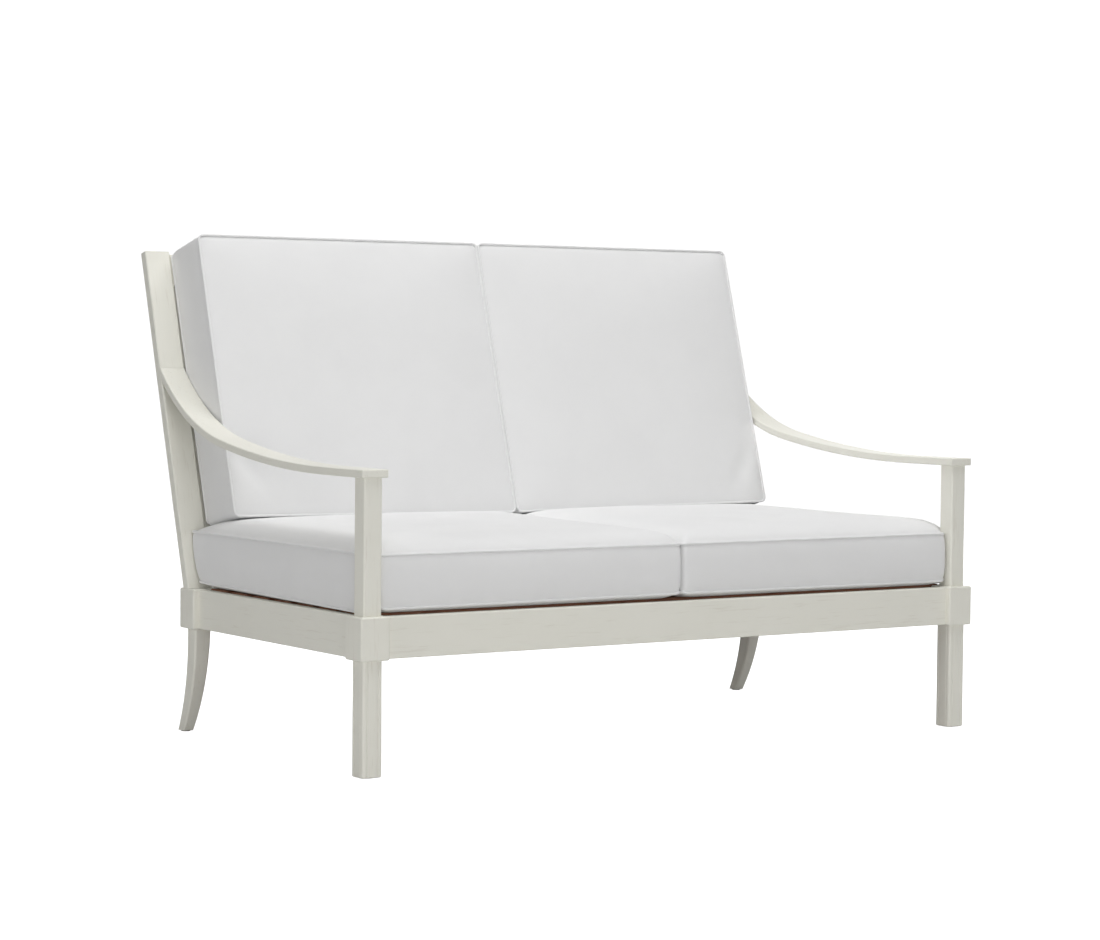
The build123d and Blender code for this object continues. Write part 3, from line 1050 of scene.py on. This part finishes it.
@dataclass
class SeatCushion(BoxCushion):
    """A seat cushion, cut round the front post."""

    side_x: float = 0.709
    floor_gap: float = 0.0005
    stile_gap: float = 0.0006
    corner_soft: float = 0.013
    corner_tight: float = 0.008
    corner_growth: float = 0.30
    post_corner: float = 0.011
    notch_radii: Point = (0.009, 0.004)
    front_y: float = -0.43357
    deck: float = 0.299
    post_half: float = 0.019
    post_gap: float = 0.0015
    front_out: float = 0.005
    side_out: float = 0.004
    bulge: float = 0.006
    height: float = 0.1105
    crown: float = 0.032
    shoulder: float = 0.019
    tuck: float = 0.0035
    corner_lift: float = 0.014
    lift_reach: float = 0.050
    corner_sag: float = 0.0035
    outer_rise: float = 0.0035
    inner_rise: float = 0.0095
    rise_reach: float = 0.14
    bow: float = 0.0026
    bow_reach: float = 0.16
    level_share: float = 0.6
    border_from: float = 0.004
    crown_from: float = 0.003
    press_gap: float = 0.0004
    back_gap: float = 0.0012
    edge_fill: float = 0.75
    back_rise: float = 0.1175

    @property
    def crown_way(self) -> Vector:
        """The seat panel faces up."""
        return Vector((0.0, 0.0, 1.0))

    def outline(self, z: float, out: float, clear: float = 0.0) -> list[Point]:
        """Give the cushion's outline at a height.

        Args:
            z: The height.
            out: How far it stands out, or in where negative.
            clear: How far it keeps from the post, its twin and the stiles besides.

        Returns:
            The outline's points.
        """
        inward = max(-out, 0.0)
        kept = inward + clear
        notch_x, notch_y = (edge + kept for edge in self.notch)
        inner = -self.seam - kept
        outer = -self.side_x - self.side_out - out
        front = self.front_y - self.front_out - out
        # 1.1 is a little over 1 / cos(LEAN): the distance kept is square to the lean.
        rear = self.plane.y_at(z) - self.stile_gap - kept * 1.1
        soft = self.corner_soft + self.corner_growth * inward
        tight = self.corner_tight + self.corner_growth * inward
        corners = [
            (notch_x, front),
            (inner, front),
            (inner, rear),
            (outer, rear),
            (outer, notch_y),
            (notch_x, notch_y),
        ]
        radii = [min(self.post_corner, soft), tight, soft, tight, *self.notch_radii]
        return rounded_outline(corners, radii)

    @property
    def notch(self) -> Point:
        """The X and Y of the notch's faces, which go round the post with a gap."""
        notch_x = -self.side_x + self.post_half + self.post_gap
        return notch_x, self.front_y + self.post_half + self.post_gap

    def ring(self, z: float, out: float, clear: float = 0.0) -> Loop:
        """Give the ring at a height, each of its points drawn up or down by `lifted`."""
        return [self.lifted(Vector((x, y, z))) for x, y in self.outline(z, out, clear)]

    def lifted(self, point: Vector) -> Vector:
        """Draw a point near a corner to the middle of the border, where the filling is thin.

        The top also bows up between the corners and rises at both rear ones.

        Args:
            point: The point.

        Returns:
            The point, lifted or lowered.
        """
        front, rear = self.front_y - self.front_out, self.plane.y_at(point.z)
        spots = (
            (-self.seam, front),
            (-self.side_x - self.side_out, rear),
            (-self.seam, rear),
            (-self.side_x + self.post_half, front),
        )
        gaps = [hypot(point.x - x, point.y - y) for x, y in spots]
        corner = fade(min(gaps), self.lift_reach) ** 2
        share = (point.z - self.deck) / self.height
        low = fade(share, self.level_share)
        high = min(max(0.0, (share - (1.0 - self.level_share)) / self.level_share), 1.0)
        full = 1.0 - fade(min(gaps), self.bow_reach) ** 2
        rise = self.corner_lift * corner * low - self.corner_sag * corner * high
        rise += self.bow * full * high
        for height, gap in ((self.outer_rise, gaps[1]), (self.inner_rise, gaps[2])):
            rise += height * fade(gap, self.rise_reach) * high
        return point + Vector((0.0, 0.0, rise))

    def rings(self, puff: float) -> list[Loop]:
        """Give the shell's rings from the bottom panel to the crown."""
        foot = self.deck + self.floor_gap
        low, top = foot + self.border_from, foot + self.height
        rings = [self.ring(foot, -inward) for inward in (*PANEL_INSETS, self.tuck)]
        rings.append(self.ring(low, 0.0))
        for step in range(1, BORDER_RUNS):
            share = step / BORDER_RUNS
            z = low + (self.height - self.border_from) * share
            rings.append(self.ring(z, self.bulge * border_swell(share)))
        rings.append(self.ring(top, 0.0))
        for inward in (*CROWN_INSETS, 0.300):
            rings.append(self.ring(top + self.crown_rise(inward, puff), -inward))
        return rings

    def welt_loops(self) -> list[Loop]:
        """Give the centre lines of the bottom and top welts."""
        foot, near = self.deck + self.floor_gap, self.welt_clear
        low, top = foot + near + 0.0009, foot + self.height
        return [self.ring(low, 0.0004, near), self.ring(top, 0.0006, near)]

    def rests(self, points: np.ndarray) -> np.ndarray:
        """Mark the bottom panel."""
        return points[:, 2] < self.deck + self.border_from

    def stuff(self, obj: bpy.types.Object) -> None:
        """Fill the shell, then fill its crown out to the seams, where the foam's edge holds it up.

        Args:
            obj: The shell.
        """
        super().stuff(obj)
        points = positions(obj.data)
        tree = self.welt_tree()
        for index in np.flatnonzero(points[:, 2] > self.deck + self.height + self.crown_from):
            x, y, z = points[index]
            seam = tree.find(Vector((x, y, z)))[0]
            full = seam.z + self.crown_rise(hypot(x - seam.x, y - seam.y))
            points[index, 2] = max(z, z + (full - z) * self.edge_fill)
        set_positions(obj.data, points)

    def settle(self, points: np.ndarray) -> np.ndarray:
        """Press the shell against the deck, its twin, the post, the stiles and the back cushion."""
        pressed = points.copy()
        pressed[:, 2] = np.maximum(pressed[:, 2], self.deck + self.press_gap)
        pressed[:, 0] = np.minimum(pressed[:, 0], -self.seam)
        pressed = self.plane.press(pressed, self.stile_gap)
        notch_x, notch_y = self.notch
        inside = (pressed[:, 0] < notch_x) & (pressed[:, 1] < notch_y)
        by_x = inside & (notch_x - pressed[:, 0] <= notch_y - pressed[:, 1])
        pressed[by_x, 0] = notch_x
        pressed[inside & ~by_x, 1] = notch_y
        rise, forward = self.plane.measure(pressed)
        over = rise - (self.back_rise - self.back_gap - foot_sag(pressed[:, 0], forward))
        pressed -= np.maximum(over, 0.0)[:, None] * np.array(self.plane.up)
        return pressed


@dataclass
class BackCushion(BoxCushion):
    """A back cushion, which stands on the seat cushion and leans on the stiles."""

    inner_stile: float = 0.68125
    side_gap: float = 0.0007
    press_gap: float = 0.0004
    stile_gap: float = 0.0005
    border_from: float = 0.0045
    flat_below: float = 0.004
    foot_below: float = 0.003
    front_in: float = 0.0070
    rise: float = 0.1175
    height: float = 0.5935
    thick: float = BACK_THICK
    bulge: float = 0.003
    crown: float = 0.015
    shoulder: float = 0.034
    corner: float = 0.011
    corner_lift: float = 0.009
    lift_reach: float = 0.060
    tuck: float = 0.004
    heel_in: float = 0.014
    heel_reach: float = 0.042
    soft_growth: float = 0.25
    sag_share: float = 0.25
    fold_depth: float = 0.0060
    fold_place: Point = (0.062, 0.085)
    fold_way: Point = (0.83, 0.55)
    fold_size: Point = (0.055, 0.020)
    fold_right: float = 0.6

    @property
    def crown_way(self) -> Vector:
        """The front panel faces out of the lean."""
        return self.plane.out

    def ring(self, share: float, out: float, lift: float = 0.0, clear: float = 0.0) -> Loop:
        """Give the ring part of the way from the rear panel to the front one.

        Args:
            share: 0 at the rear welt, 1 at the front welt.
            out: How far it stands out, or in where negative.
            lift: How far beyond the front welt it lies.
            clear: How far it keeps from its twin and the seat besides.

        Returns:
            The ring's points.
        """
        inward = max(-out, 0.0)
        outer = -self.inner_stile + self.side_gap + self.front_in * share - out
        inner = -self.seam - inward - clear
        low = self.rise + inward + clear
        high = self.rise + self.height + out
        soft = self.corner + self.soft_growth * inward
        corners = [(outer, low), (inner, low), (inner, high), (outer, high)]
        forward = self.border_from + (self.thick - self.border_from) * share + lift
        loop: Loop = []
        for x, up in rounded_outline(corners, [soft, soft * 0.8, soft * 0.8, soft]):
            above = up - self.rise
            corner = fade(hypot(x - outer, above), self.lift_reach) ** 2
            heel = fade(above, self.heel_reach) ** 2 * fade(share, 1.0) ** 2
            at = forward + self.heel_in * heel
            sag = fade(above, self.sag_share * self.height) * float(foot_sag(x, at))
            lift_up = self.corner_lift * corner * fade(share, 1.0)
            loop.append(self.plane.point(x, up + lift_up - sag, at))
        return loop

    def rings(self, puff: float) -> list[Loop]:
        """Give the shell's rings from the rear panel to the crown."""
        rings = [self.ring(0.0, -inward, -0.0040) for inward in (*PANEL_INSETS, self.tuck)]
        rings.append(self.ring(0.0, 0.0))
        for step in range(1, BORDER_RUNS):
            share = step / BORDER_RUNS
            rings.append(self.ring(share, self.bulge * border_swell(share)))
        rings.append(self.ring(1.0, 0.0))
        for inward in CROWN_INSETS:
            rings.append(self.ring(1.0, -inward, self.crown_rise(inward, puff)))
        return rings

    def welt_loops(self) -> list[Loop]:
        """Give the centre lines of the rear and front welts."""
        rear = self.ring(0.0, -0.0022, -0.0017, 0.0004)
        return [rear, self.ring(1.0, 0.0006, 0.0, self.welt_clear)]

    def ease(self, points: np.ndarray, seed: float) -> np.ndarray:
        """Add the soft fold at the foot's outer corner to the slow hollows of the filling.

        Args:
            points: The shell's points.
            seed: Moves the pattern, so that no two cushions match.

        Returns:
            The eased points.
        """
        rise, forward = self.plane.measure(points)
        across = points[:, 0] + self.inner_stile - self.fold_place[0]
        up = rise - self.rise - self.fold_place[1]
        more, less = self.fold_way
        along, off = more * up - less * across, less * up + more * across
        length, width = self.fold_size
        fold = np.exp(-((off / width) ** 2) - (along / length) ** 2) * (forward > 0.6 * self.thick)
        depth = self.fold_depth * (1.0 if seed == 0.0 else self.fold_right)
        return super().ease(points, seed) - (depth * fold)[:, None] * np.array(self.plane.out)

    def rests(self, points: np.ndarray) -> np.ndarray:
        """Mark the rear panel and the foot border."""
        rise, forward = self.plane.measure(points)
        return (forward < self.flat_below) | (rise < self.rise + self.foot_below)

    def settle(self, points: np.ndarray) -> np.ndarray:
        """Press the shell against the stiles, the arm, its twin and the seat cushion."""
        pressed = self.plane.press(points, self.stile_gap)
        rise, forward = self.plane.measure(pressed)
        sunk = self.rise - foot_sag(pressed[:, 0], forward) - rise
        pressed += np.maximum(sunk, 0.0)[:, None] * np.array(self.plane.up)
        outer = -self.inner_stile + self.press_gap
        pressed[:, 0] = np.clip(pressed[:, 0], outer, -self.seam)
        return pressed


# ---- The wooden frame ----


@dataclass
class WoodenFrame:
    """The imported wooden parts, each dressed with grain that runs along it."""

    effects: Effects
    paint: WoodFinish
    oil: WoodFinish
    plastic: PlasticFinish

    def run_of(self, node: str) -> GrainRun:
        """Say which way a part's grain runs.

        Args:
            node: The part's name.

        Returns:
            The run.
        """
        if node.endswith("_stile") or "back_slat" in node:
            return GrainRun.LEANING
        if node.endswith(("_leg", "_post", "_block")):
            return GrainRun.UPRIGHT
        if node.endswith(("_arm", "_cleat", "left_rail", "right_rail", "_stretcher")):
            return GrainRun.DEEP
        return GrainRun.ACROSS

    def dress(self) -> int:
        """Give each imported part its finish.

        Returns:
            How many parts were dressed.
        """
        painted = {run: self.paint.make(self.effects, run) for run in GrainRun}
        oiled = {run: self.oil.make(self.effects, run) for run in (GrainRun.ACROSS, GrainRun.DEEP)}
        plastic = self.plastic.make(self.effects)
        count = 0
        for name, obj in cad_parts.items():
            if name.endswith(("_cover", "_core")):
                continue
            if name == "foot_glides":
                material = plastic
            elif name.startswith("seat_") or name.endswith("_cleat"):
                material = oiled[self.run_of(name)]
            else:
                material = painted[self.run_of(name)]
            obj.data.materials.clear()
            obj.data.materials.append(material)
            count += 1
        return count


# ---- The studio ----


@dataclass(frozen=True)
class CameraFit:
    """The photograph's camera, solved from the edges of the frame."""

    place: Triple = (-3.32308, -4.93324, 0.79651)
    azimuth: float = radians(-33.803)
    pitch: float = radians(2.515)
    roll: float = radians(0.532)
    focal_pixels: float = 2848.16
    image_width: float = 1100.0
    sensor_width: float = 36.0

    def make(self) -> bpy.types.Object:
        """Make the camera and put it in the scene.

        Returns:
            The camera object.
        """
        data = bpy.data.cameras.new("photo_camera")
        data.sensor_fit = "HORIZONTAL"
        data.sensor_width = self.sensor_width
        data.lens = self.focal_pixels / self.image_width * self.sensor_width
        data.clip_end = 100.0
        camera = bpy.data.objects.new("photo_camera", data)
        level = cos(self.pitch)
        ahead = Vector(
            (-sin(self.azimuth) * level, cos(self.azimuth) * level, -sin(self.pitch))
        )
        right = Vector((cos(self.azimuth), sin(self.azimuth), 0.0))
        up = right.cross(ahead)
        across = right * cos(self.roll) + up * sin(self.roll)
        above = up * cos(self.roll) - right * sin(self.roll)
        turn = Matrix((across, above, -ahead)).transposed().to_4x4()
        camera.matrix_world = Matrix.Translation(self.place) @ turn
        bpy.context.scene.collection.objects.link(camera)
        bpy.context.scene.camera = camera
        return camera


@dataclass(frozen=True)
class SoftLight:
    """A large soft lamp."""

    name: str
    place: Triple
    aim: Triple
    size: float
    power: float

    def make(self) -> bpy.types.Object:
        """Make the lamp.

        Returns:
            The lamp object.
        """
        data = bpy.data.lights.new(self.name, "AREA")
        data.shape = "DISK"
        data.size = self.size
        data.energy = self.power
        lamp = bpy.data.objects.new(self.name, data)
        turn = (Vector(self.aim) - Vector(self.place)).to_track_quat("-Z", "Y")
        lamp.matrix_world = Matrix.Translation(self.place) @ turn.to_matrix().to_4x4()
        bpy.context.scene.collection.objects.link(lamp)
        return lamp


@dataclass(frozen=True)
class Studio:
    """A pale floor that curves up all round, four soft lamps and an even white room.

    `profile` gives the floor's rings by radius and height, and `glow` is how bright its paper
    looks to the camera besides what the lamps give, so that the backdrop is white.
    """

    lamps: tuple[SoftLight, ...] = (
        SoftLight("top_lamp", (0.0, -0.8, 4.2), (0.0, 0.0, 0.3), 4.5, 125.0),
        SoftLight("left_lamp", (-6.0, -1.0, 2.2), (0.0, 0.0, 0.5), 3.0, 56.0),
        SoftLight("low_lamp", (-1.5, -5.5, 0.9), (0.0, 0.0, 0.3), 2.4, 61.0),
        SoftLight("rear_lamp", (4.2, 4.6, 2.0), (0.0, 0.0, 0.5), 3.6, 54.0),
    )
    room: float = 0.20
    floor_colour: Colour = (0.80, 0.80, 0.795)
    glow: float = 0.97
    sides: int = 96
    profile: tuple[Point, ...] = (
        (0.4, 0.0),
        (4.0, 0.0),
        (10.0, 0.0),
        (14.0, 0.15),
        (17.0, 1.2),
        (19.0, 4.0),
        (20.0, 9.0),
        (20.0, 20.0),
    )

    def build(self) -> None:
        """Build the floor, the lamps, the room's light and the camera."""
        self.floor()
        for lamp in self.lamps:
            lamp.make()
        self.world()
        CameraFit().make()
        view = bpy.context.scene.view_settings
        view.view_transform = "Standard"
        view.look = "None"

    def floor(self) -> None:
        """Lay the floor as one sheet that curves up into a backdrop all round."""
        turns = [2 * pi * i / self.sides for i in range(self.sides)]
        rings = [
            [Vector((radius * cos(turn), radius * sin(turn), height)) for turn in turns]
            for radius, height in self.profile
        ]
        sheet = ring_mesh("studio_floor", rings, closed=False)
        sheet.data.materials.append(self.paper())

    def paper(self) -> bpy.types.Material:
        """Make the floor's pale speckled paper, which glows a little to the camera."""
        start = MaterialStart("studio_floor_paper")
        build = start.build
        speckle = build.noise(start.place, Scale=140.0, Detail=3.0)
        tint = build.mix(speckle, self.floor_colour, tuple(0.985 * c for c in self.floor_colour))
        build.feed(start.shader, Base_Color=tint, Roughness=0.9, Specular_IOR_Level=0.0)
        path = build.add("ShaderNodeLightPath")
        seen = build.math("MULTIPLY", path.outputs["Is Camera Ray"], self.glow)
        glow = build.add("ShaderNodeEmission", in_Strength=seen)
        both = build.add("ShaderNodeAddShader")
        for socket, part in zip(both.inputs, (start.shader, glow)):
            build.give(socket, part.outputs[0])
        output = start.material.node_tree.nodes["Material Output"]
        build.feed(output, Surface=both.outputs[0])
        return start.material

    def world(self) -> None:
        """Light the room evenly."""
        world = bpy.data.worlds.new("white_room")
        bpy.context.scene.world = world
        world.use_nodes = True
        background = world.node_tree.nodes["Background"]
        build = NodeBuilder(world.node_tree)
        build.feed(background, Color=(1.0, 1.0, 1.0, 1.0), Strength=self.room)


# ---- Putting it together ----


def dress_cushion(cushion: BoxCushion, kind: str, side: Side, cloth: bpy.types.Material) -> None:
    """Build one cushion, give it its cloth and set it in the frame.

    Args:
        cushion: The cushion's form.
        kind: "seat" or "back".
        side: Which half it lies on.
        cloth: The cover's material.
    """
    body = f"{kind}_{side.value}_cushion"
    cover, welts = cushion.build(f"{kind}_cushion_{side.value}", side)
    for piece in (cover, *welts):
        piece.data.materials.clear()
        piece.data.materials.append(cloth)
        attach(piece, body)
    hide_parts(f"{kind}_{side.value}_cover", f"{kind}_{side.value}_core")
    LOG.info("%s: %d faces, two welts", cover.name, len(cover.data.polygons))


def main() -> None:
    """Dress the loveseat and set it in the studio."""
    logging.basicConfig(level=logging.INFO, format="%(name)s: %(message)s")
    effects = Effects()
    paint = WoodFinish(
        name="ivory_paint",
        colour=(0.87, 0.86, 0.785),
        shade=(0.845, 0.833, 0.752),
        pore=(0.60, 0.55, 0.46),
        # The lighter edge colour is worn paint and a painted highlight.
        worn_and_highlight=(0.92, 0.91, 0.86),
        roughness=0.46,
        pore_strength=0.24,
        depth=0.00022,
        wear_and_highlight=0.5,
    )
    oil = WoodFinish(
        name="deck_oil",
        colour=(0.33, 0.155, 0.095),
        shade=(0.25, 0.110, 0.065),
        pore=(0.10, 0.045, 0.03),
        # The lighter edge colour is worn oil and a painted highlight.
        worn_and_highlight=(0.42, 0.22, 0.14),
        roughness=0.6,
        pore_strength=0.7,
        depth=0.00025,
        wear_and_highlight=0.35,
    )
    count = WoodenFrame(effects, paint, oil, PlasticFinish()).dress()
    LOG.info("wooden frame: %d parts", count)

    block_low, block_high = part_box("rear_left_block")
    post_low, post_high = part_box("front_left_post")
    front_y = (post_low[1] + post_high[1]) / 2
    foot_y = (block_low[1] + block_high[1]) / 2 + STILE_SHIFT
    plane = LeaningPlane(foot_y=foot_y, foot_z=block_high[2])
    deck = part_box("seat_slat_4")[1][2]
    cloth = FabricFinish().make(effects)
    seat, back = SeatCushion(plane, front_y=front_y, deck=deck), BackCushion(plane)
    for side in Side:
        dress_cushion(seat, "seat", side, cloth)
        dress_cushion(back, "back", side, cloth)
    Studio().build()


if __name__ == "__main__":
    main()
